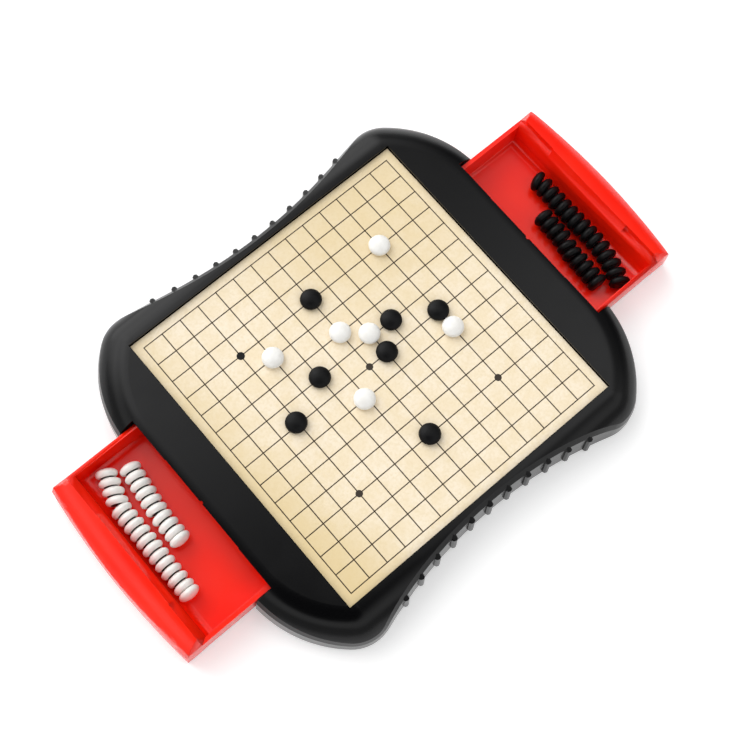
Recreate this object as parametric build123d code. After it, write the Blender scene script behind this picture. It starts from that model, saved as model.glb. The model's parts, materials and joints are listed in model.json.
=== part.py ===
from build123d import *
from math import cos, hypot, radians, sin, sqrt, tan
import os

os.makedirs("parts", exist_ok=True)

# The frame: the case stands on the plane z = 0 and is centred on x = 0, y = 0.
# X runs along the case, through both drawers. The white stones' drawer is at -X.

# Playing area
line_count = 15
line_pitch = 9.2
sheet_margin = 3.9
sheet_thickness = 0.3
plate_thickness = 0.5
recess_clearance = 0.35
rim_above_sheet = 1.8

# Case outline, at the wall's top edge
waist_rim = 4.2
bulge_rise = 10.2
end_rim = 28.4
bulge_inset = 31.1
bulge_radius = 16.0
corner_radius = 53.0
end_radius = 345.0

# Case form
case_height = 19.4
wall_thickness = 2.0
floor_thickness = 1.6
deck_thickness = 1.0
parting_height = 2.8
wall_draft = 4.0
crown_radius = 15.1
crown_corner_radius = 58.0
crown_overhang = 1.6
edge_band = 1.8
hollow_chamfer = 9.5

# Grip ribs on the two long sides
rib_count = 11
rib_pitch = 9.8
rib_radius = 1.4
rib_standout = 0.6
rib_start_inset = 2.4
rib_slope = 30.0
rib_drop = 12.5
rib_sides = 8

# Drawers
notch_depth = 10.2
notch_half_width = 43.2
nick_radius = 0.9
nick_height = 3.0
drawer_side_gap = 0.6
drawer_end_gap = 0.4
drawer_floor_gap = 0.3
drawer_top_gap = 0.4
drawer_wall = 1.8
drawer_floor = 1.5
drawer_length = 86.0
drawer_ledge = 3.0
drawer_front_fillet = 4.0
drawer_side_fillet = 2.0
block_lift = 0.8
block_end_bevel = 3.0
core_rib_count = 3
ramp_half_width = 22.5
ramp_setback = 0.8
ramp_root = 0.1
white_drawer_opening = 33.3
black_drawer_opening = 34.9

# Drawer guides and stops
rail_thickness = 1.8
rail_end_gap = 0.2
lug_reach = 1.0
lug_length = 3.0
slide_clearance = 0.3
shoulder_length = 20.5

# Screws that hold the two shells together
post_radius = 3.4
post_x = 60.0
post_y = 57.0
screw_shank_radius = 1.3
screw_shank_length = 7.0
screw_head_radius = 2.6
screw_head_height = 1.6
screw_seat = 2.4
screw_hole_clearance = 0.3
screw_pilot_clearance = 0.05
pilot_end_room = 0.5
boss_wall = 1.6
small_round_sides = 12

# Stones
stone_radius = 4.55
stone_thickness = 3.8
dome_bevel = 1.6
dome_top_bevel = 0.7
board_stone_sides = 14
row_stone_sides = 10
magnet_radius = 2.8
magnet_thickness = 1.2
magnet_clearance = 0.05
magnet_sides = 8

# Rows of stones in the drawers, from the drawer's front wall, each to the side wall where it ends
row_pitch = 3.95
row_slip = 0.65
row_standoff = 0.35
white_front_row_x = 5.6
white_front_row_end = 4.5
white_back_row_x = 16.0
white_back_row_end = 9.1
black_front_row_x = 7.6
black_front_row_end = 4.0
black_back_row_x = 16.7
black_back_row_end = 9.9

# Sizes that follow
sheet_half = (line_count - 1) / 2 * line_pitch + sheet_margin
recess_half = sheet_half + recess_clearance
waist_half_width = sheet_half + waist_rim
bulge_half_width = waist_half_width + bulge_rise
case_half_length = sheet_half + end_rim
crown_half_width = bulge_half_width + crown_overhang
sheet_top = case_height - rim_above_sheet
plate_top = sheet_top - sheet_thickness
deck_top = plate_top - plate_thickness
deck_underside = deck_top - deck_thickness
notch_x = case_half_length - notch_depth
notch_wall_x = notch_x - wall_thickness
drawer_half_width = notch_half_width - drawer_side_gap
drawer_bottom = floor_thickness + drawer_floor_gap
drawer_inside = drawer_bottom + drawer_floor
drawer_rim = deck_underside - drawer_top_gap
drawer_rear = case_half_length - drawer_length
block_x = notch_x + drawer_end_gap
tray_front = block_x - drawer_ledge
rail_inner = drawer_half_width + lug_reach + slide_clearance
rail_outer = rail_inner + rail_thickness
rail_end = notch_wall_x - rail_end_gap
boss_top = screw_seat + boss_wall
boss_radius = screw_head_radius + screw_hole_clearance + boss_wall

# Stones on the board, by column and row of the lines, counted from the white drawer's far corner
white_on_board = [(11, 3), (4, 4), (7, 5), (7.96, 5.86), (5.86, 8), (11, 8)]
black_on_board = [(7, 3), (5, 6), (9.1, 6), (2.92, 6.9), (8, 7), (11, 7), (7, 11)]


def box(x, y, z):
    """A box from three (low, high) pairs."""
    middle = [(low + high) / 2 for low, high in (x, y, z)]
    return Pos(*middle) * Box(*[high - low for low, high in (x, y, z)])


def span(half):
    """The (low, high) pair that reaches equally far both ways."""
    return -half, half


def small_round(radius):
    """The section of a small round part that is hidden or repeated, with few sides."""
    return RegularPolygon(radius, small_round_sides)


def toward(centre, point, distance):
    """The point at a distance from a centre, on the ray through another point."""
    dx = point[0] - centre[0]
    dy = point[1] - centre[1]
    length = hypot(dx, dy)
    return centre[0] + dx / length * distance, centre[1] + dy / length * distance


def lower_meeting(centre_a, radius_a, centre_b, radius_b):
    """Where two circles meet, on the right hand of the way from a to b."""
    dx = centre_b[0] - centre_a[0]
    dy = centre_b[1] - centre_a[1]
    apart = hypot(dx, dy)
    along = (apart**2 + radius_a**2 - radius_b**2) / (2 * apart)
    aside = sqrt(radius_a**2 - along**2)
    x = centre_a[0] + (dx * along + dy * aside) / apart
    y = centre_a[1] + (dy * along - dx * aside) / apart
    return x, y


def arc_between(centre, start, end):
    """The three points of an arc about a centre: its start, its middle and its end."""
    radius = hypot(start[0] - centre[0], start[1] - centre[1])
    halfway = ((start[0] + end[0]) / 2, (start[1] + end[1]) / 2)
    return start, toward(centre, halfway, radius), end


def in_quarters(arcs):
    """Arcs given by three points each, repeated in all four quarters."""
    found = []
    for along, side in [(1, 1), (-1, 1), (1, -1), (-1, -1)]:
        for points in arcs:
            found.append(ThreePointArc(*[(x * along, y * side) for x, y in points]))
    return found


def bulge_centre():
    """The centre of the tight arc at the widest place of the case."""
    return case_half_length - bulge_inset, bulge_half_width - bulge_radius


def case_outline():
    """The case from above: hollow waists, bulging shoulders, round corners and slightly curved ends."""
    bulge = bulge_centre()
    rise = bulge[1] - waist_half_width
    waist_radius = (bulge[0] ** 2 + rise**2 - bulge_radius**2) / (2 * (rise + bulge_radius))
    waist = (0, waist_half_width + waist_radius)
    end = (case_half_length - end_radius, 0)
    corner = lower_meeting(end, end_radius - corner_radius, bulge, corner_radius - bulge_radius)
    waist_to_bulge = toward(waist, bulge, waist_radius)
    bulge_to_corner = toward(corner, bulge, corner_radius)
    corner_to_end = toward(end, corner, end_radius)
    arcs = in_quarters(
        [
            arc_between(bulge, waist_to_bulge, bulge_to_corner),
            arc_between(corner, bulge_to_corner, corner_to_end),
        ]
    )
    for way in (1, -1):
        waist_end = (waist_to_bulge[0], way * waist_to_bulge[1])
        arcs.append(ThreePointArc((-waist_end[0], waist_end[1]), (0, way * waist_half_width), waist_end))
        end_top = (way * corner_to_end[0], corner_to_end[1])
        arcs.append(ThreePointArc((end_top[0], -end_top[1]), (way * case_half_length, 0), end_top))
    return make_face(arcs)


def crown_plan(inset):
    """The plan of the crowned lid: straight sides and ends, with corners that follow the shoulders."""
    bulge = bulge_centre()
    half_width = crown_half_width - inset
    half_length = case_half_length + crown_overhang - inset
    corner_radius_here = crown_corner_radius - inset
    bulge_radius_here = bulge_radius + crown_overhang - inset
    corner_x = half_length - corner_radius_here
    drop = sqrt((corner_radius_here - bulge_radius_here) ** 2 - (bulge[0] - corner_x) ** 2)
    corner = (corner_x, bulge[1] - drop)
    side_to_bulge = (bulge[0], half_width)
    bulge_to_corner = toward(corner, bulge, corner_radius_here)
    corner_to_end = (half_length, corner[1])
    edges = in_quarters(
        [
            arc_between(bulge, side_to_bulge, bulge_to_corner),
            arc_between(corner, bulge_to_corner, corner_to_end),
        ]
    )
    for way in (1, -1):
        edges.append(Line((-bulge[0], way * half_width), (bulge[0], way * half_width)))
        edges.append(Line((way * half_length, -corner[1]), (way * half_length, corner[1])))
    return make_face(edges)


def drafted_walls(inset):
    """The case's outline with its walls leaning out toward the table, all moved inward by an inset."""
    spread = case_height * tan(radians(wall_draft))
    return extrude(offset(case_outline(), spread - inset), case_height, taper=wall_draft)


def case_form():
    """The closed case as one solid: drafted walls under a crown, with a narrow band where they meet."""
    crown = extrude(crown_plan(0), case_height)
    crown = fillet(crown.edges().group_by(Axis.Z)[-1], crown_radius)
    form = drafted_walls(0) & crown
    return chamfer(form.edges().filter_by(meets_wall), edge_band)


def case_hollow(inset):
    """The space inside the case, its ceiling sloping down to the walls under the crown."""
    ceiling = extrude(crown_plan(inset), case_height - inset)
    ceiling = chamfer(ceiling.edges().group_by(Axis.Z)[-1], hollow_chamfer)
    return drafted_walls(inset) & ceiling


def crown_drop(y):
    """How far the crown has fallen below the flat top at a distance y from the case's long axis."""
    past = y - (crown_half_width - crown_radius)
    return crown_radius - sqrt(crown_radius**2 - past**2) if past > 0 else 0


def meets_wall(edge):
    """True for an edge where the crown meets the wall."""
    low = edge.bounding_box().min.Z
    high = edge.bounding_box().max.Z
    return low > case_height / 5 and high < case_height - 0.01


def rib(x, wall_y):
    """A round bar that leaves the top just inside its edge, slopes out and runs down the wall."""
    run = rib_start_inset + rib_standout
    start_z = case_height - crown_drop(wall_y) - rib_radius
    bend_z = start_z - run * tan(radians(rib_slope))
    foot_z = bend_z - rib_drop
    bend_y = wall_y + rib_standout
    foot_y = bend_y + rib_drop * tan(radians(wall_draft))
    path = Polyline((x, wall_y - rib_start_inset, start_z), (x, bend_y, bend_z), (x, foot_y, foot_z))
    section = Plane(path @ 0, z_dir=path % 0) * RegularPolygon(rib_radius, rib_sides)
    return sweep(section, path, transition=Transition.RIGHT)


def ribs():
    """All the grip ribs, each at the wall's own distance from the long axis."""
    outline = case_outline()
    found = []
    for number in range(rib_count):
        x = (number - (rib_count - 1) / 2) * rib_pitch
        wall_y = (outline & Line((x, 0), (x, 2 * bulge_half_width))).bounding_box().max.Y
        found.append(rib(x, wall_y))
        found.append(mirror(found[-1], Plane.XZ))
    return found


def at_both_ends(piece):
    """A piece and its twin at the other end of the case."""
    return [piece, Rot(Z=180) * piece]


def on_both_sides(piece):
    """A piece and its mirror image across the case's long axis."""
    return [piece, mirror(piece, Plane.XZ)]


def post_places():
    """Where the screws and their posts stand."""
    return [(x, y) for x in (-post_x, post_x) for y in (-post_y, post_y)]


def notch(height):
    """The opening in one end of the case that a drawer's front fills, from a height upward."""
    return box((notch_x, 2 * case_half_length), span(notch_half_width), (height, 2 * case_height))


def notch_sides(z):
    """The two walls beside one drawer opening."""
    outer = notch_half_width + wall_thickness
    wall = box((notch_wall_x, 2 * case_half_length), (notch_half_width, outer), z)
    return on_both_sides(wall)


def ramp(grown, clearance):
    """The slope in the middle of a drawer's ledge, or the relief for it with a clearance."""
    points = [
        (tray_front + ramp_setback, drawer_rim),
        (block_x + ramp_root, drawer_rim),
        (block_x + ramp_root, case_height),
        (block_x, case_height),
    ]
    face = make_face(Polyline(*points, close=True))
    wedge = extrude(Plane.XZ * face, ramp_half_width + grown, both=True)
    return Pos(X=-clearance) * wedge


def upper_case(outside):
    """The crowned top shell: recess and deck for the board, notched ends, screw posts and ribbed sides."""
    above = (parting_height, 2 * case_height)
    everywhere = (span(2 * case_half_length), span(2 * bulge_half_width))
    shell = outside & box(*everywhere, above)
    top = (deck_underside, case_height)
    deck = box(span(recess_half + wall_thickness), span(recess_half + wall_thickness), top)
    lintel = box((notch_wall_x, notch_x), span(notch_half_width + wall_thickness), top)
    kept = [deck] + at_both_ends(lintel)
    for wall in notch_sides(above):
        kept += at_both_ends(wall)
    hollow = (case_hollow(wall_thickness) & box(*everywhere, above)) - kept
    post = extrude(small_round(post_radius), deck_underside - boss_top)
    shell = shell - hollow + [Pos(x, y, boss_top) * post for x, y in post_places()]
    recess = box(span(recess_half), span(recess_half), (deck_top, 2 * case_height))
    nick = Pos(notch_x, 0, case_height - nick_height) * extrude(small_round(nick_radius), nick_height)
    pilot_top = screw_seat + screw_shank_length + pilot_end_room
    pilot = extrude(small_round(screw_shank_radius + screw_pilot_clearance), pilot_top)
    pilots = [Pos(x, y, 0) * pilot for x, y in post_places()]
    relief = ramp(drawer_side_gap, drawer_end_gap)
    return shell - [recess] - at_both_ends(notch(0)) - at_both_ends(nick) - pilots - at_both_ends(relief)


def lower_case(outside):
    """The bottom shell: floor, drawer guides with their stop shoulders, screw bosses and ribbed sides."""
    below = (-case_height, parting_height)
    everywhere = (span(2 * case_half_length), span(2 * bulge_half_width))
    shell = outside & box(*everywhere, below)
    kept = []
    for wall in notch_sides(below):
        kept += at_both_ends(wall)
    hollow = (case_hollow(wall_thickness) & box(*everywhere, (floor_thickness, parting_height))) - kept
    rail_heights = (floor_thickness, deck_underside)
    rail = box(span(rail_end), (rail_inner, rail_outer), rail_heights)
    shoulder_y = drawer_half_width + slide_clearance
    shoulder = box((notch_wall_x - shoulder_length, rail_end), (shoulder_y, rail_outer), rail_heights)
    guides = on_both_sides(rail)
    for side in on_both_sides(shoulder):
        guides += at_both_ends(side)
    bosses = [Pos(x, y, 0) * extrude(small_round(boss_radius), boss_top) for x, y in post_places()]
    head_hole = extrude(small_round(screw_head_radius + screw_hole_clearance), screw_seat)
    shank_hole = extrude(small_round(screw_shank_radius + screw_hole_clearance), boss_top)
    holes = [Pos(x, y, 0) * (head_hole + shank_hole) for x, y in post_places()]
    return shell - hollow + guides + bosses - holes - at_both_ends(notch(-case_height))


def screws():
    """The screws that hold the shells together, from below."""
    head = extrude(small_round(screw_head_radius), screw_head_height)
    head = Pos(Z=screw_seat - screw_head_height) * head
    shank = Pos(Z=screw_seat) * extrude(small_round(screw_shank_radius), screw_shank_length)
    return Compound(children=[Pos(x, y, 0) * (head + shank) for x, y in post_places()])


def tray_hollow():
    """The inside of a drawer, its floor meeting the walls in round corners."""
    x = (drawer_rear + drawer_wall, tray_front)
    y = span(drawer_half_width - drawer_wall)
    z = (drawer_inside, 2 * case_height)
    lengthwise = box(x, y, z)
    lengthwise = fillet(lengthwise.edges().filter_by(Axis.Y).group_by(Axis.Z)[0], drawer_front_fillet)
    crosswise = box(x, y, z)
    crosswise = fillet(crosswise.edges().filter_by(Axis.X).group_by(Axis.Z)[0], drawer_side_fillet)
    return lengthwise & crosswise


def drawer_front(outside):
    """The block that fills the notch and carries on the case's crown, hollow from below between ribs."""
    width = span(drawer_half_width)
    block = outside & box((block_x, 2 * case_half_length), width, (block_lift, 2 * case_height))
    bevel_points = [
        (drawer_half_width - block_end_bevel, case_height),
        (drawer_half_width, drawer_rim),
        (2 * drawer_half_width, drawer_rim),
        (2 * drawer_half_width, case_height),
    ]
    bevel = extrude(Plane.YZ * make_face(Polyline(*bevel_points, close=True)), 2 * case_half_length)
    block = block - on_both_sides(bevel)
    slope = ramp(0, 0) & outside
    return block + slope


def front_core():
    """The hollow under a drawer's front, in bays between upright ribs."""
    width = 2 * (drawer_half_width - drawer_wall)
    bay = (width - core_rib_count * drawer_wall) / (core_rib_count + 1)
    inside = case_hollow(drawer_wall)
    bays = []
    for number in range(core_rib_count + 1):
        low = -width / 2 + number * (bay + drawer_wall)
        reach = (tray_front + drawer_wall, 2 * case_half_length)
        bays.append(inside & box(reach, (low, low + bay), (0, drawer_rim - drawer_wall)))
    return bays


def drawer(outside):
    """One drawer in its closed place at +X: tray, crowned front and the two stop lugs at its rear."""
    tray = box((drawer_rear, block_x), span(drawer_half_width), (drawer_bottom, drawer_rim))
    lug_z = (drawer_bottom + slide_clearance, drawer_rim - slide_clearance)
    lug_y = (drawer_half_width, drawer_half_width + lug_reach)
    lug = box((drawer_rear, drawer_rear + lug_length), lug_y, lug_z)
    whole = tray + drawer_front(outside) + on_both_sides(lug)
    return whole - tray_hollow() - front_core()


def magnet_disc(clearance):
    """The disc magnet in a stone's base, or the pocket for it with a clearance."""
    return extrude(RegularPolygon(magnet_radius + clearance, magnet_sides), magnet_thickness)


def domed_disc(sides):
    """A stone on its flat base: its curve is in flat facets, few of them because there are many stones."""
    outline = RegularPolygon(stone_radius, sides, rotation=270 + 180 / sides)
    disc = extrude(outline, stone_thickness)
    return chamfer(disc.edges().group_by(Axis.Z)[-1], dome_bevel)


def board_stone():
    """A domed stone with a pocket for its magnet."""
    stone = domed_disc(board_stone_sides)
    stone = chamfer(stone.edges().group_by(Axis.Z)[-1], dome_top_bevel)
    return stone - magnet_disc(magnet_clearance)


def row_stone():
    """A stone standing on edge, its base toward -Y."""
    return Rot(X=-90) * Pos(Z=-stone_thickness / 2) * domed_disc(row_stone_sides)


def row_steps(count, lean):
    """How far behind and along from the first each stone of a row lies, resting against the one before."""
    behind = 0
    along = 0
    steps = [(behind, along)]
    for number in range(1, count):
        change = abs(lean(number) - lean(number - 1))
        step = row_pitch + row_standoff * stone_radius * tan(radians(change))
        heading = radians(row_slip * lean(number))
        behind += step * sin(heading)
        along += step * cos(heading)
        steps.append((behind, along))
    return steps


def stone_row(end, opening, from_front, from_wall, count, lean, first_turn):
    """A row of stones on the floor of the open drawer at one end, -1 or 1, that runs along its front."""
    first_x = tray_front + opening - from_front
    last_y = drawer_half_width - drawer_wall - from_wall
    steps = row_steps(count, lean)
    row_length = steps[-1][1]
    apothem = stone_radius * cos(radians(180 / row_stone_sides))
    stone = row_stone()
    placed = []
    for number, (behind, along) in enumerate(steps):
        place = Pos(end * (first_x - behind), end * (row_length - along - last_y), drawer_inside + apothem)
        turn = 0 if number else first_turn
        placed.append(place * Rot(Z=turn - lean(number)) * stone)
    return Compound(children=placed)


def white_front_lean(number):
    """The last stones of the white front row have slid over together."""
    return 26 if number > 11 else 0


def white_back_lean(number):
    """Most of the white back row leans a little."""
    return 10 if number > 3 else 0


def black_front_lean(number):
    """The black front row starts turned the other way, runs straight and then curls inward."""
    return 8 * number - 16 if number < 2 else 6 * max(0, number - 9)


def black_back_lean(number):
    """The black back row leans a little, and two stones in it lean more."""
    return 14 if number in (4, 5) else 4


def board_place(column, row):
    """Where a crossing of the board's lines lies on the sheet's top."""
    middle = (line_count - 1) / 2
    return Pos((column - middle) * line_pitch, (middle - row) * line_pitch, sheet_top)


def square_plate(low, high):
    """A square as large as the playing sheet."""
    return box(span(sheet_half), span(sheet_half), (low, high))


def save(piece, name):
    """Writes one part."""
    export_step(piece, f"parts/{name}.step")


smooth = case_form()
outside = smooth + ribs()
save(upper_case(outside), "upper_case")
save(lower_case(outside), "lower_case")
save(screws(), "case_screws")
save(square_plate(deck_top, plate_top), "steel_plate")
save(square_plate(plate_top, sheet_top), "playing_sheet")

closed_drawer = drawer(smooth)
save(Pos(X=black_drawer_opening) * closed_drawer, "black_drawer")
save(Pos(X=-white_drawer_opening) * Rot(Z=180) * closed_drawer, "white_drawer")

rows = {
    "white_stones_front_row": (-1, white_front_row_x, white_front_row_end, 16, white_front_lean, 180),
    "white_stones_back_row": (-1, white_back_row_x, white_back_row_end, 10, white_back_lean, 180),
    "black_stones_front_row": (1, black_front_row_x, black_front_row_end, 15, black_front_lean, 0),
    "black_stones_back_row": (1, black_back_row_x, black_back_row_end, 10, black_back_lean, 0),
}
for name, (end, *row) in rows.items():
    opening = black_drawer_opening if end > 0 else white_drawer_opening
    save(stone_row(end, opening, *row), name)

for colour, places in (("white", white_on_board), ("black", black_on_board)):
    for number, (column, row) in enumerate(places, 1):
        save(board_place(column, row) * board_stone(), f"{colour}_stone_{number}")
        save(board_place(column, row) * magnet_disc(0), f"{colour}_stone_magnet_{number}")
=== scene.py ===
# %% [markdown]
# A magnetic travel go set: a black moulded case, a printed grid sheet over a steel plate, two red drawers
# and domed stones with a magnet in the base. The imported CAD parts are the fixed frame. The case, the sheet,
# the plate and the magnets of the stones on the board have the right shape already and get materials here.
# The stones are modelled again, because their CAD solids are plain polygon discs and the real ones are
# smooth domes. The drawers are copied and their fronts are made a little fuller, and the screws get a cross
# recess.

# %% Load the frame
import bmesh
import bpy
import json
from math import cos, pi, radians, sin
from mathutils import Matrix, Vector

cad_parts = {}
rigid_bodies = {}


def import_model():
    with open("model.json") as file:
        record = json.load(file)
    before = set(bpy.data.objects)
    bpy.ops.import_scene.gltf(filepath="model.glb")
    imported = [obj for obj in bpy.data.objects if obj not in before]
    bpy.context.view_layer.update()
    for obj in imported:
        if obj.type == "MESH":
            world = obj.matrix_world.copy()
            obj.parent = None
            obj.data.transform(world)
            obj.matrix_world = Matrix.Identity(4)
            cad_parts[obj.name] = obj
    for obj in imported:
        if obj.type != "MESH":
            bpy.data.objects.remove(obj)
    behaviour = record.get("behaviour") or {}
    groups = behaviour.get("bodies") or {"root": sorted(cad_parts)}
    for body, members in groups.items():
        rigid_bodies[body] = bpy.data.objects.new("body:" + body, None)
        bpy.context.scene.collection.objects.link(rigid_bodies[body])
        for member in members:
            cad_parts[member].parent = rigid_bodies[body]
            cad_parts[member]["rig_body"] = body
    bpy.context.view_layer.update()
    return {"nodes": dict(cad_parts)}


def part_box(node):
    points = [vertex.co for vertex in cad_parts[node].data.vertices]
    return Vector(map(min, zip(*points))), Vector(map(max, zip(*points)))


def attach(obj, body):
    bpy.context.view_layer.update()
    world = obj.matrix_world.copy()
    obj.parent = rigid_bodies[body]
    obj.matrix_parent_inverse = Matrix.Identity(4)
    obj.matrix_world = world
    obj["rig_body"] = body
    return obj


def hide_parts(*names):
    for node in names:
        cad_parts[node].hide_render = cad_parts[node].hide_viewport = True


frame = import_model()
nodes = frame["nodes"]
print("CAD nodes:", len(nodes))

# %% [markdown]
# Lengths are written in millimetres, as a drawing gives them, and one short function turns them into
# Blender's metres. Three tiny lengths say what counts as the same place: corners of a CAD mesh that are
# closer than the first are merged, a cut takes corners closer than the second as its own, and heights
# closer than the third are level.

# %% Units
MM = 0.001


def mm(*lengths):
    """Millimetres as metres: one number, or a vector of three."""
    return lengths[0] * MM if len(lengths) == 1 else Vector(lengths) * MM


merge_distance = mm(0.002)
cut_distance = mm(0.001)
level_distance = mm(0.01)

# %% [markdown]
# The camera looks down from the white drawer's near side, about 16 degrees off the vertical, and is turned
# a little about its own axis. It is placed by its real height over the table and by the point in the middle
# of the picture, which lies just under the sheet.

# %% Camera
camera_place = mm(-111.4, -105.7, 536.6)
camera_aim = mm(-0.56, -4.02, 17.6)
camera_roll = radians(7.13)
lens_length = 64.46
sensor_width = 36.0
nearest_seen = mm(10)
farthest_seen = mm(20000)

camera_data = bpy.data.cameras.new("camera")
camera_data.lens = lens_length
camera_data.sensor_width = sensor_width
camera_data.clip_start = nearest_seen
camera_data.clip_end = farthest_seen
camera = bpy.data.objects.new("camera", camera_data)
bpy.context.scene.collection.objects.link(camera)
look = (camera_aim - camera_place).to_track_quat("-Z", "Y").to_matrix().to_4x4()
camera.matrix_world = Matrix.Translation(camera_place) @ look @ Matrix.Rotation(camera_roll, 4, "Z")
bpy.context.scene.camera = camera

# %% [markdown]
# Every material is a small tree of nodes. One function adds a node with its settings and its inputs, which
# are plain values or other nodes' outputs. Colours are written as sRGB hex values, as a colour picker shows
# them, and turned to the linear values that the shader works with. No real surface is even, so most values
# drift between two limits in soft patches, and nearly every surface has some fine relief.

# %% Material helpers
def linear(hex_colour):
    """An sRGB hex colour as linear red, green, blue and alpha."""
    channels = [int(hex_colour[i:i + 2], 16) / 255 for i in (1, 3, 5)]
    return [c / 12.92 if c <= 0.04045 else ((c + 0.055) / 1.055) ** 2.4 for c in channels] + [1.0]


def fill(tree, node, inputs):
    """Fills a node's inputs. Each is named or numbered, and gets a value or another node's output."""
    for name, value in inputs.items():
        if isinstance(value, bpy.types.NodeSocket):
            tree.links.new(value, node.inputs[name])
        else:
            node.inputs[name].default_value = value


def add(tree, kind, inputs=None, **settings):
    """One new shader node with its settings and its inputs."""
    node = tree.nodes.new(kind)
    for name, value in settings.items():
        setattr(node, name, value)
    fill(tree, node, inputs or {})
    return node


def start_material(name):
    """A new material: its tree, its shader, and the piece's own coordinates in metres."""
    material = bpy.data.materials.new(name)
    material.use_nodes = True
    tree = material.node_tree
    shader = tree.nodes["Principled BSDF"]
    place = add(tree, "ShaderNodeTexCoord").outputs["Object"]
    return material, tree, shader, place


def math_node(tree, operation, *values):
    """The output of one sum or comparison."""
    return add(tree, "ShaderNodeMath", dict(enumerate(values)), operation=operation).outputs[0]


def blend_colours(tree, share, first, second):
    """First where the share is 0 and second where it is 1."""
    inputs = {"Factor": share, 6: first, 7: second}
    return add(tree, "ShaderNodeMix", inputs, data_type="RGBA").outputs[2]


def spread(tree, value, low, high, to_low, to_high):
    """A value from one range eased into another and held at its ends."""
    inputs = {"Value": value, "From Min": low, "From Max": high, "To Min": to_low, "To Max": to_high}
    return add(tree, "ShaderNodeMapRange", inputs, interpolation_type="SMOOTHSTEP").outputs[0]


def noise(tree, place, grain, detail):
    """Noise whose patches are about one grain wide, in metres."""
    inputs = {"Vector": place, "Scale": 1 / grain, "Detail": detail}
    return add(tree, "ShaderNodeTexNoise", inputs, noise_dimensions="3D").outputs[0]


def patchy(tree, place, grain, detail, least, most, low=0.3, high=0.7):
    """A value that drifts between two limits. Noise up to low gives the least, and from high on the most."""
    return spread(tree, noise(tree, place, grain, detail), low, high, least, most)


def mottled(tree, place, grain, detail, first, second):
    """A colour that drifts between two hex colours."""
    share = patchy(tree, place, grain, detail, least=0.0, most=1.0)
    return blend_colours(tree, share, linear(first), linear(second))


def fine_relief(tree, shader, place, grain, detail, depth, strength):
    """Small bumps about one grain wide. The grain and their full depth are in metres."""
    inputs = {"Height": noise(tree, place, grain, detail), "Distance": depth, "Strength": strength}
    fill(tree, shader, {"Normal": add(tree, "ShaderNodeBump", inputs).outputs[0]})


# %% [markdown]
# The case is injection-moulded ABS, black and polished in the mould. Its look is all reflection: the colour
# is close to black, the roughness is low, and a faint slow ripple from shrinkage bends the reflections. The
# low index of refraction keeps the mirrored table weak in the crown and the rims. Dust and handling make
# some patches a little duller.

# %% Black case plastic
def black_abs():
    """The case's plastic."""
    material, tree, shader, place = start_material("polished black ABS")
    fill(tree, shader, {
        "Base Color": linear("#060607"),
        "IOR": 1.3,
        "Roughness": patchy(tree, place, grain=mm(14), detail=4, least=0.17, most=0.21, low=0.35),
    })
    fine_relief(tree, shader, place, grain=mm(45), detail=1, depth=mm(0.1), strength=0.2)
    return material


# %% [markdown]
# The drawers are moulded polypropylene in a strong warm red. It is less polished than the case, so the
# reflections on the tray's floor are soft, and the colour stays saturated from every side.

# %% Red drawer plastic
def red_polypropylene():
    """The drawers' plastic."""
    material, tree, shader, place = start_material("red polypropylene")
    fill(tree, shader, {
        "Base Color": mottled(tree, place, mm(25), 2, "#ff1c06", "#ff2309"),
        "IOR": 1.42,
        "Roughness": patchy(tree, place, grain=mm(9), detail=3, least=0.2, most=0.26, low=0.35),
    })
    fine_relief(tree, shader, place, grain=mm(35), detail=1, depth=mm(0.1), strength=0.2)
    return material


# %% [markdown]
# The playing sheet is printed and laminated paper in the colour of pale wood. The grid is drawn by distance:
# a point is on a line where it is less than half a line's width from the nearest whole number of pitches.
# Folding the sheet into one quarter with absolute values puts all four outer dots in one place. One of them
# is printed again, larger and darker. Toward the white drawer's end, and a little in one far corner, a
# painted reflection in the laminate makes the sheet darker and more golden.

# %% Printed sheet
line_count = 15
line_pitch = mm(9.2)
line_width = mm(0.47)
line_softness = mm(0.1)
dot_radius = mm(1.5)
first_dot_radius = mm(1.7)
dot_cell = 4
# The painted reflection in the laminate: its slant, patches and waver, where it is full and gone, its share,
# and the same for the corner.
reflection_slant = 0.2
reflection_grain = mm(30)
reflection_waver = mm(12)
reflection_full = mm(-70)
reflection_gone = mm(-34)
reflection_share = 0.75
reflection_corner = (mm(40), mm(62))
reflection_corner_share = 0.5
reflection_corner_full = mm(20)
reflection_corner_gone = mm(70)


def near_line(tree, along, across):
    """1 on the lines that cross one axis, and 0 off them and beyond the grid."""
    cells = math_node(tree, "DIVIDE", along, line_pitch)
    off = math_node(tree, "MULTIPLY", math_node(tree, "PINGPONG", cells, 0.5), line_pitch)
    on = spread(tree, off, line_width / 2 - line_softness, line_width / 2 + line_softness, 1.0, 0.0)
    half_grid = (line_count - 1) / 2 * line_pitch + line_width / 2
    for distance in (along, across):
        inside = math_node(tree, "LESS_THAN", math_node(tree, "ABSOLUTE", distance), half_grid)
        on = math_node(tree, "MULTIPLY", on, inside)
    return on


def distance_from(tree, x, y, centre):
    """How far a point of the sheet is from another."""
    reach = add(tree, "ShaderNodeCombineXYZ", {"X": x, "Y": y}).outputs[0]
    inputs = {0: reach, 1: (*centre, 0.0)}
    return add(tree, "ShaderNodeVectorMath", inputs, operation="DISTANCE").outputs["Value"]


def near_dot(tree, x, y, centre, radius):
    """1 inside a printed dot, and 0 outside it."""
    far = distance_from(tree, x, y, centre)
    return spread(tree, far, radius - line_softness, radius + line_softness, 1.0, 0.0)


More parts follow.
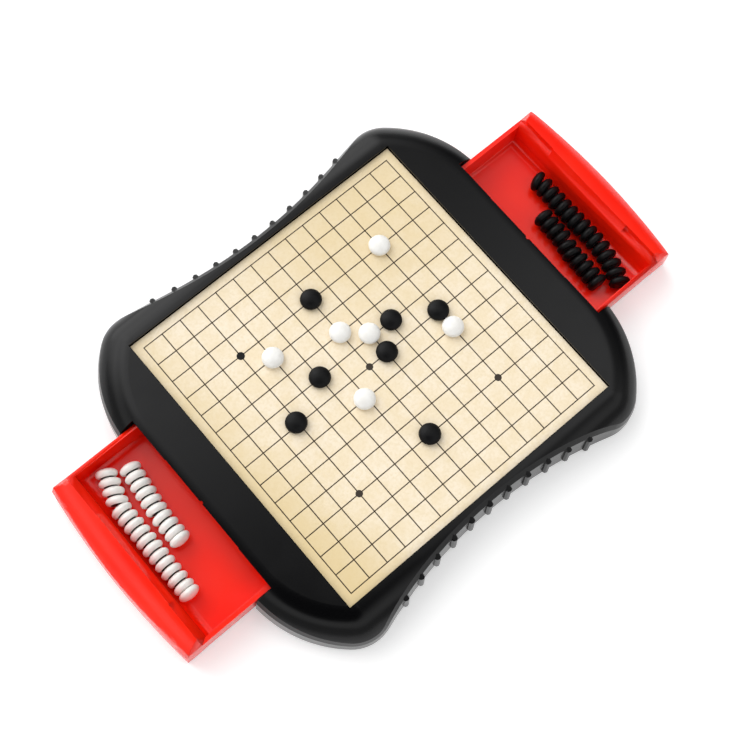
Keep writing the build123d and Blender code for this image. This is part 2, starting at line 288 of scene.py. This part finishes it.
def wood_print_and_reflection(tree, place, x, y):
    """The sheet's ground: pale wood with darker specks, and a painted reflection that makes it more golden at
    one end and in one corner.
    """
    ground = mottled(tree, place, mm(7), 3, "#f4e3c4", "#f9ebd3")
    specks = patchy(tree, place, grain=mm(1.2), detail=4, least=0.0, most=0.5, low=0.35, high=0.75)
    ground = blend_colours(tree, specks, ground, linear("#ead7b0"))
    # Painted reflection: the print turns darker and more golden toward the white drawer's end and near one
    # far corner.
    slant = math_node(tree, "MULTIPLY_ADD", y, reflection_slant, x)
    slant = math_node(tree, "MULTIPLY_ADD", noise(tree, place, reflection_grain, 2), reflection_waver, slant)
    reflection_toward_end = spread(tree, slant, reflection_full, reflection_gone, reflection_share, 0.0)
    far = distance_from(tree, x, y, reflection_corner)
    reflection_near_corner = spread(tree, far, reflection_corner_full, reflection_corner_gone, reflection_corner_share, 0.0)
    painted_reflection = math_node(tree, "MAXIMUM", reflection_toward_end, reflection_near_corner)
    return blend_colours(tree, painted_reflection, ground, linear("#dfc790"))


def printed_paper():
    """The playing sheet's material: its ground with the grid and the dots over it."""
    material, tree, shader, place = start_material("laminated printed paper")
    split = add(tree, "ShaderNodeSeparateXYZ", {"Vector": place})
    x, y = split.outputs["X"], split.outputs["Y"]
    folded = [math_node(tree, "ABSOLUTE", distance) for distance in (x, y)]
    outer = dot_cell * line_pitch
    grid = math_node(tree, "MAXIMUM", near_line(tree, x, y), near_line(tree, y, x))
    outer_dots = near_dot(tree, *folded, (outer, outer), dot_radius)
    middle_dot = near_dot(tree, x, y, (0.0, 0.0), dot_radius)
    dots = math_node(tree, "MAXIMUM", outer_dots, middle_dot)
    first_dot = near_dot(tree, x, y, (-outer, outer), first_dot_radius)
    printed = wood_print_and_reflection(tree, place, x, y)
    for share, ink in ((grid, "#2c1e0c"), (dots, "#3a322a"), (first_dot, "#060606")):
        printed = blend_colours(tree, share, printed, linear(ink))
    fill(tree, shader, {"Base Color": printed, "IOR": 1.3, "Roughness": 0.38})
    fine_relief(tree, shader, place, grain=mm(0.6), detail=3, depth=mm(0.02), strength=0.3)
    return material


# %% [markdown]
# The stones are moulded too. The white ones are slightly warm and shine softly. The black ones are satin,
# so their highlight is wide and weak. Both have the faint waviness of a small thick moulding, and play
# wears some patches duller.

# %% Stone plastics
stone_wear = 0.08


def stone_plastic(name, light, dark, roughness, ior):
    """The plastic of one colour of stones."""
    material, tree, shader, place = start_material(name)
    fill(tree, shader, {
        "Base Color": mottled(tree, place, mm(2.5), 3, light, dark),
        "IOR": ior,
        "Roughness": patchy(tree, place, mm(1.5), 2, least=roughness, most=roughness + stone_wear),
    })
    fine_relief(tree, shader, place, grain=mm(1.0), detail=2, depth=mm(0.02), strength=0.3)
    return material


# %% [markdown]
# Two metals and a ceramic are mostly hidden: the disc magnets are dark grey sintered ferrite, the plate
# under the sheet is cold-rolled steel, and the screws are zinc-plated with a faint blue cast. The metals
# have fine scratches along one axis.

# %% Hidden metals
scratch_stretch = (1.0, 12.0, 12.0)
scratch_dullness = 0.15


def ferrite():
    """The magnets' ceramic."""
    material, tree, shader, place = start_material("sintered ferrite")
    colour = mottled(tree, place, mm(0.5), 4, "#19181a", "#2b292b")
    fill(tree, shader, {"Base Color": colour, "Roughness": 0.55})
    fine_relief(tree, shader, place, grain=mm(0.3), detail=3, depth=mm(0.02), strength=0.4)
    return material


def plated_metal(name, colour, roughness, scratch_length):
    """A scratched metal."""
    material, tree, shader, place = start_material(name)
    stretched = add(tree, "ShaderNodeMapping", {"Vector": place, "Scale": scratch_stretch}).outputs[0]
    dullest = roughness + scratch_dullness
    fill(tree, shader, {
        "Base Color": linear(colour),
        "Metallic": 1.0,
        "Roughness": patchy(tree, stretched, scratch_length, 3, least=roughness, most=dullest),
    })
    return material


# %% [markdown]
# Each CAD node that stays takes its material. A node keeps its mesh and only its material slot is filled.

# %% Dress the CAD nodes
case_plastic = black_abs()
drawer_plastic = red_polypropylene()
sheet_paper = printed_paper()
white_plastic = stone_plastic("satin white urea", "#f6f5f1", "#f0eee9", roughness=0.3, ior=1.5)
black_plastic = stone_plastic("satin black ABS", "#050506", "#0a0a0b", roughness=0.42, ior=1.26)
magnet_ferrite = ferrite()
plate_steel = plated_metal("cold-rolled steel", "#a9aaa8", roughness=0.35, scratch_length=mm(30))
screw_zinc = plated_metal("zinc-plated steel", "#b9bdc2", roughness=0.28, scratch_length=mm(3))


def dress(name, material):
    """Fills a CAD node's material slots."""
    for slot in nodes[name].material_slots:
        slot.material = material


for name in ("upper_case", "lower_case"):
    dress(name, case_plastic)
dress("playing_sheet", sheet_paper)
dress("steel_plate", plate_steel)
for name in nodes:
    if "magnet" in name:
        dress(name, magnet_ferrite)

# %% [markdown]
# New pieces are modelled in a bmesh. A CAD node's mesh is loose triangles, so a copy of it is merged before
# it is used. A finished bmesh becomes a mesh, and the mesh an object that stands for a CAD node and rides on
# the same body.

# %% From a bmesh to a piece
sharp_angle = radians(28)


def merged_copy(node):
    """A CAD node's mesh as a bmesh whose triangles share their corners."""
    shape = bmesh.new()
    shape.from_mesh(node.data)
    bmesh.ops.remove_doubles(shape, verts=shape.verts, dist=merge_distance)
    return shape


def cut(shape, faces, place, normal):
    """Cuts faces of a bmesh where a plane crosses them. The plane is given by a place on it."""
    edges = dict.fromkeys(edge for face in faces for edge in face.edges)
    corners = dict.fromkeys(corner for face in faces for corner in face.verts)
    bmesh.ops.bisect_plane(
        shape, geom=[*faces, *edges, *corners], dist=cut_distance, plane_co=place, plane_no=normal
    )


def add_copy(shape, mesh, matrix, slot=0):
    """Adds a copy of a mesh to a bmesh, in the place that a matrix gives and with one material slot."""
    face_count, corner_count = len(shape.faces), len(shape.verts)
    shape.from_mesh(mesh)
    shape.faces.ensure_lookup_table()
    shape.verts.ensure_lookup_table()
    for face in shape.faces[face_count:]:
        face.material_index = slot
    bmesh.ops.transform(shape, matrix=matrix, verts=shape.verts[corner_count:])


def as_mesh(shape, name, *materials):
    """A mesh made from a bmesh, shaded smooth, with its materials in the order of their slots."""
    mesh = bpy.data.meshes.new(name)
    shape.to_mesh(mesh)
    shape.free()
    mesh.shade_smooth()
    for material in materials:
        mesh.materials.append(material)
    return mesh


def replace_node(node_name, mesh):
    """An object with the given mesh that stands for a CAD node."""
    piece = bpy.data.objects.new(mesh.name, mesh)
    bpy.context.scene.collection.objects.link(piece)
    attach(piece, nodes[node_name]["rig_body"])
    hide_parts(node_name)
    print(piece.name, "has", len(mesh.polygons), "faces")
    return piece


# %% [markdown]
# The drawers' fronts carry on the case's crown. In the CAD model the crown runs straight across a drawer, so
# its edge is lowest in the middle, where the front bulges most. On the real drawer the crown follows the
# bulge and stays full. The front of a merged copy of each drawer is cut crosswise into strips, and the
# corners that lie on the crown are lifted to where the fuller crown is. Corners just under the crown count
# as on it. Sharp edges are kept sharp, and the rest is smooth.

# %% Drawers with a fuller front
crown_radius = mm(15.1)
crown_at_edge = mm(13.5)
crown_end_share = 0.99
under_crown = mm(0.9)
front_depth = mm(9.8)
front_margin = mm(0.2)
front_half_width = mm(42.6)
wall_lean = mm(1.3)
fullness_middle = mm(2.2)
fullness_end = mm(0.6)
front_strips = 16
case_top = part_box("upper_case")[1].z


def crown_fall(past):
    """How far the crown has fallen at a distance past its flat top, up to where it is nearly upright."""
    past = min(max(past, 0.0), crown_end_share * crown_radius)
    return crown_radius - (crown_radius**2 - past**2) ** 0.5


def cut_crosswise(shape, way, behind):
    """Cuts the part of a drawer that lies beyond a place on its run into strips."""
    for strip in range(1, front_strips):
        front = [face for face in shape.faces if min(way * corner.co.x for corner in face.verts) > behind]
        across = front_half_width * (2 * strip / front_strips - 1)
        cut(shape, front, (0, across, 0), (0, 1, 0))


def fuller_drawer(name, way):
    """A copy of a drawer whose crown follows the bulge of its front. The way is 1 toward +X, or -1."""
    low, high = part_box(name)
    edge = (high.x if way > 0 else -low.x) - wall_lean
    shape = merged_copy(nodes[name])
    cut_crosswise(shape, way, edge - front_depth - front_margin)
    for corner in shape.verts:
        past = way * corner.co.x - edge + crown_at_edge
        on_crown = past > 0 and corner.co.z > case_top - crown_fall(past) - under_crown
        if on_crown:
            middle_share = 1 - (corner.co.y / front_half_width) ** 2
            fullness = fullness_end + (fullness_middle - fullness_end) * middle_share
            corner.co.z += crown_fall(past) - crown_fall(past - fullness)
    mesh = as_mesh(shape, f"{name}_body", drawer_plastic)
    mesh.set_sharp_from_angle(angle=sharp_angle)
    piece = replace_node(name, mesh)
    flat_first = piece.modifiers.new("flat faces keep their normals", "WEIGHTED_NORMAL")
    flat_first.keep_sharp = True


fuller_drawer("white_drawer", -1)
fuller_drawer("black_drawer", 1)

# %% [markdown]
# A stone is a body of revolution, so half of its outline is drawn once and spun about the axis. The outline
# goes from the magnet's pocket over a small rounded foot and up a low dome. The foot is narrower than the
# widest place, which is what makes the row of stones on edge look like a row of lenses.

# %% A stone's outline
stone_radius = mm(4.55)
stone_height = mm(3.8)
widest_height = mm(1.55)
foot_radius = mm(3.15)
pocket_radius = mm(2.85)
pocket_depth = mm(1.2)
dome_steps = 9
foot_steps = 4
spin_steps = 40


def section(points):
    """Points of a section in the XZ plane, from pairs of a reach from the axis and a height."""
    return [Vector((reach, 0, height)) for reach, height in points]


def stone_outline():
    """Half of a stone's section, as points from the pocket's middle to the top of the dome."""
    points = [(0, pocket_depth), (pocket_radius, pocket_depth), (pocket_radius, 0)]
    for step in range(foot_steps + 1):
        turn = pi / 2 * step / foot_steps
        reach = foot_radius + (stone_radius - foot_radius) * sin(turn)
        points.append((reach, widest_height * (1 - cos(turn))))
    for step in range(1, dome_steps + 1):
        turn = pi / 2 * step / dome_steps
        rise = (stone_height - widest_height) * sin(turn)
        points.append((stone_radius * cos(turn), widest_height + rise))
    return section(points)


def spin_outline(shape, points):
    """Spins an outline once round the upright axis into the given bmesh, closed and facing outwards."""
    made = [shape.verts.new(point) for point in points]
    edges = [shape.edges.new(pair) for pair in zip(made, made[1:])]
    bmesh.ops.spin(
        shape, geom=made + edges, cent=(0, 0, 0), axis=(0, 0, 1), dvec=(0, 0, 0),
        angle=2 * pi, steps=spin_steps, use_merge=True, use_duplicate=False,
    )
    bmesh.ops.remove_doubles(shape, verts=shape.verts, dist=cut_distance)
    bmesh.ops.recalc_face_normals(shape, faces=shape.faces)


stone_shape = bmesh.new()
spin_outline(stone_shape, stone_outline())
stone_mesh = as_mesh(stone_shape, "stone")
print("one stone has", len(stone_mesh.polygons), "faces")

# %% [markdown]
# The stones in the drawers show the dark disc of their magnet between one stone and the next. It is a plain
# disc with a fine chamfer that fills the pocket in the base.

# %% A magnet disc for the stones in the drawers
magnet_radius = mm(2.8)
magnet_chamfer = mm(0.15)


def magnet_disc():
    """The disc magnet in a bmesh, standing on its lower face."""
    shape = bmesh.new()
    bmesh.ops.create_cone(
        shape, cap_ends=True, segments=spin_steps,
        radius1=magnet_radius, radius2=magnet_radius, depth=pocket_depth,
    )
    bmesh.ops.translate(shape, verts=shape.verts, vec=(0, 0, pocket_depth / 2))
    rims = [edge for edge in shape.edges if abs(edge.verts[0].co.z - edge.verts[1].co.z) < level_distance]
    bmesh.ops.bevel(
        shape, geom=rims, offset=magnet_chamfer, affect="EDGES", segments=1, profile=0.5, material=-1
    )
    return shape


magnet_mesh = as_mesh(magnet_disc(), "magnet")

# %% [markdown]
# Each stone's place is read from its CAD node, whose merged copy is split into its separate solids. The
# largest flat face of a solid is the stone's base, and its direction says how the stone is turned.

# %% Find the stones in a node
def solids_of(node):
    """A merged copy of a CAD node, and its separate solids as lists of faces of that copy."""
    shape = merged_copy(node)
    left = dict.fromkeys(shape.faces)
    solids = []
    while left:
        found = [left.popitem()[0]]
        for face in found:
            for edge in face.edges:
                for other in edge.link_faces:
                    if other in left:
                        del left[other]
                        found.append(other)
        solids.append(found)
    return shape, solids


def box_middle(faces):
    """The middle of the box round some faces."""
    places = [corner.co for face in faces for corner in face.verts]
    return Vector([(min(p[axis] for p in places) + max(p[axis] for p in places)) / 2 for axis in range(3)])


def base_way(faces):
    """The outward direction of the largest flat face."""
    areas = {}
    for face in faces:
        way = tuple(round(value, 2) for value in face.normal)
        areas[way] = areas.get(way, 0) + face.calc_area()
    return Vector(max(areas, key=areas.get)).normalized()


def stone_matrices(node):
    """For each stone in a node, the matrix that takes the upright stone to its place."""
    shape, solids = solids_of(node)
    matrices = []
    for faces in solids:
        down = base_way(faces)
        base = box_middle(faces) + down * stone_height / 2
        turn = (-down).to_track_quat("Z", "Y").to_matrix().to_4x4()
        matrices.append(Matrix.Translation(base) @ turn)
    shape.free()
    return sorted(matrices, key=lambda matrix: -matrix.translation.y)


# %% [markdown]
# The screws below the case get the cross recess that a driver turns them by. A screw's outline is spun, its
# head's outer face is cut along the sides of the cross, and the faces inside the cross are pushed in.

# %% Screws with a cross recess
screw_head_radius = mm(2.6)
screw_head_rounding = mm(0.2)
screw_head_height = mm(1.6)
screw_shank_radius = mm(1.3)
recess_length = mm(3.0)
recess_width = mm(0.75)
recess_depth = mm(0.9)


def screw_outline(low, high):
    """Half of a screw's section between two heights, from its head's middle to its tip."""
    seat = low + screw_head_height
    return section([
        (0, low), (screw_head_radius - screw_head_rounding, low),
        (screw_head_radius, low + screw_head_rounding), (screw_head_radius, seat),
        (screw_shank_radius, seat), (screw_shank_radius, high), (0, high),
    ])


def outer_faces(shape, low):
    """The faces of a screw's head that look out of the case."""
    edge = low + level_distance
    return [face for face in shape.faces if max(corner.co.z for corner in face.verts) < edge]


def in_cross(place):
    """True for a place inside the cross recess."""
    across, along = sorted((abs(place.x), abs(place.y)))
    return across < recess_width / 2 and along < recess_length / 2


def sink_recess(shape, low):
    """Cuts the cross into a head's outer face and pushes it in."""
    for normal in (Vector((1, 0, 0)), Vector((0, 1, 0))):
        for half in (recess_width / 2, recess_length / 2):
            for side in (-1, 1):
                cut(shape, outer_faces(shape, low), side * half * normal, normal)
    inside = [face for face in outer_faces(shape, low) if in_cross(face.calc_center_median())]
    pushed = bmesh.ops.extrude_face_region(shape, geom=inside)["geom"]
    corners = [item for item in pushed if isinstance(item, bmesh.types.BMVert)]
    bmesh.ops.translate(shape, verts=corners, vec=(0, 0, recess_depth))
    left = [face for face in inside if face.is_valid]
    bmesh.ops.delete(shape, geom=left, context="FACES")
    bmesh.ops.recalc_face_normals(shape, faces=shape.faces)


def crossed_screws():
    """One piece with all the screws of the CAD node, each with its recess."""
    low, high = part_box("case_screws")
    screw = bmesh.new()
    spin_outline(screw, screw_outline(low.z, high.z))
    sink_recess(screw, low.z)
    screw_mesh = as_mesh(screw, "screw")
    copy, solids = solids_of(nodes["case_screws"])
    shape = bmesh.new()
    for faces in solids:
        middle = box_middle(faces)
        add_copy(shape, screw_mesh, Matrix.Translation((middle.x, middle.y, 0)))
    copy.free()
    mesh = as_mesh(shape, "crossed_screws", screw_zinc)
    mesh.set_sharp_from_angle(angle=sharp_angle)
    replace_node("case_screws", mesh)


crossed_screws()

# %% [markdown]
# The stones of a CAD node are joined into one piece, with the stone's plastic in the first material slot.
# Stones in the drawers also get their magnet, with its ferrite in the second slot. Stones on the board leave
# theirs to its own CAD node.

# %% Build the stones
def place_stones(node_name, mesh_name, parts):
    """One piece for all the stones of a CAD node. A stone's parts are pairs of a mesh and its material."""
    shape = bmesh.new()
    for matrix in stone_matrices(nodes[node_name]):
        for slot, (mesh, _) in enumerate(parts):
            add_copy(shape, mesh, matrix, slot)
    materials = [material for _, material in parts]
    replace_node(node_name, as_mesh(shape, mesh_name, *materials))


for colour, plastic in (("white", white_plastic), ("black", black_plastic)):
    stone, magnet = (stone_mesh, plastic), (magnet_mesh, magnet_ferrite)
    board_nodes = [name for name in nodes if name.startswith(f"{colour}_stone_") and "magnet" not in name]
    for node_name in sorted(board_nodes):
        place_stones(node_name, f"{node_name}_dome", [stone])
    for row in ("front", "back"):
        node_name = f"{colour}_stones_{row}_row"
        place_stones(node_name, f"{node_name}_domes", [stone, magnet])

# %% [markdown]
# The set lies on a white table. The table is a plain matt surface that looks brighter to the camera and in
# reflections than it is, so that it comes out white while the stones and the sheet keep their tones, and
# its soft shadow stays. It lies a hair below the case, so that the two never share a plane.

# %% Table
table_size = 6.0
table_drop = mm(0.05)
table_roughness = 0.9
table_lift = 0.36


def white_table():
    """The table's material."""
    material, tree, shader, _ = start_material("white table")
    fill(tree, shader, {
        "Base Color": linear("#ededed"),
        "Roughness": table_roughness,
        "Specular IOR Level": 0.0,
    })
    path = add(tree, "ShaderNodeLightPath")
    seen = math_node(tree, "MAXIMUM", path.outputs["Is Camera Ray"], path.outputs["Is Glossy Ray"])
    seen = math_node(tree, "MAXIMUM", seen, path.outputs["Is Transmission Ray"])
    lift = math_node(tree, "MULTIPLY", seen, table_lift)
    glow = add(tree, "ShaderNodeEmission", {"Color": linear("#ffffff"), "Strength": lift})
    both = add(tree, "ShaderNodeAddShader", {0: shader.outputs[0], 1: glow.outputs[0]})
    fill(tree, tree.nodes["Material Output"], {"Surface": both.outputs[0]})
    return material


table_shape = bmesh.new()
bmesh.ops.create_grid(table_shape, x_segments=1, y_segments=1, size=table_size / 2)
bmesh.ops.translate(table_shape, verts=table_shape.verts, vec=(0, 0, -table_drop))
table = bpy.data.objects.new("table", as_mesh(table_shape, "table", white_table()))
bpy.context.scene.collection.objects.link(table)

# %% [markdown]
# The light is that of a white tent, with no lamp inside. It comes softly from all round: little from near
# the table, most from halfway up, and less again from above, where the tent has its opening. Heights are
# the upward part of a direction, from 0 to 1. The tent's lowest rim is white, so that a view along the
# table has a white background too.
#
# Glows and shades are round patches of the tent. Each is given by its direction, its amount, and the angles
# in degrees at which it starts to fade and has gone. The polished top mirrors the part near the opening, so
# that part is drawn with care, with the first two glows and the first shade. The third glow is a lamp behind
# the cloth beyond the far long side, and it gives the shadows their direction. The second shade, over the
# black drawer's end, keeps that drawer's front saturated.

# %% Light tent
tent_rim_share = 2.0
tent_foot = 0.55
tent_middle = 1.3
tent_top_share = 0.5
rim_below, foot_above = 0.04, 0.14
foot_below, middle_above = 0.4, 0.6
middle_below, top_above = 0.7, 0.9
glows = [
    (Vector((-0.05, 0.5, 1.0)), 2.0, 2, 20),
    (Vector((0.42, -0.05, 1.0)), 1.4, 2, 19),
    (Vector((-0.05, 1.0, 0.5)), 2.4, 5, 40),
]
shades = [
    (Vector((-0.27, -0.17, 1.0)), 0.95, 19, 30),
    (Vector((1.0, 0.1, 0.6)), 0.8, 12, 38),
]

world = bpy.data.worlds.new("light tent")
world.use_nodes = True
bpy.context.scene.world = world
tent = world.node_tree
way = add(tent, "ShaderNodeTexCoord").outputs["Generated"]


def patch(middle, amount, inner, outer):
    """The amount close to a direction and 0 past an angle from it, in degrees."""
    inputs = {0: way, 1: middle.normalized()}
    shared = add(tent, "ShaderNodeVectorMath", inputs, operation="DOT_PRODUCT").outputs["Value"]
    near = spread(tent, shared, cos(radians(outer)), cos(radians(inner)), 0.0, 1.0)
    return math_node(tent, "MULTIPLY", near, amount)


height = add(tent, "ShaderNodeSeparateXYZ", {"Vector": way}).outputs["Z"]
lower = spread(tent, height, foot_below, middle_above, tent_foot, tent_middle)
upper = spread(tent, height, middle_below, top_above, 1.0, tent_top_share)
rim = spread(tent, height, rim_below, foot_above, tent_rim_share, 1.0)
strength = math_node(tent, "MULTIPLY", math_node(tent, "MULTIPLY", lower, upper), rim)
for glow in glows:
    strength = math_node(tent, "ADD", strength, patch(*glow))
for shade in shades:
    strength = math_node(tent, "MULTIPLY", strength, math_node(tent, "SUBTRACT", 1.0, patch(*shade)))
fill(tent, tent.nodes["Background"], {"Color": linear("#ffffff"), "Strength": strength})

# %% [markdown]
# The colours are shown as they are written.

# %% Finish
bpy.context.scene.view_settings.view_transform = "Standard"
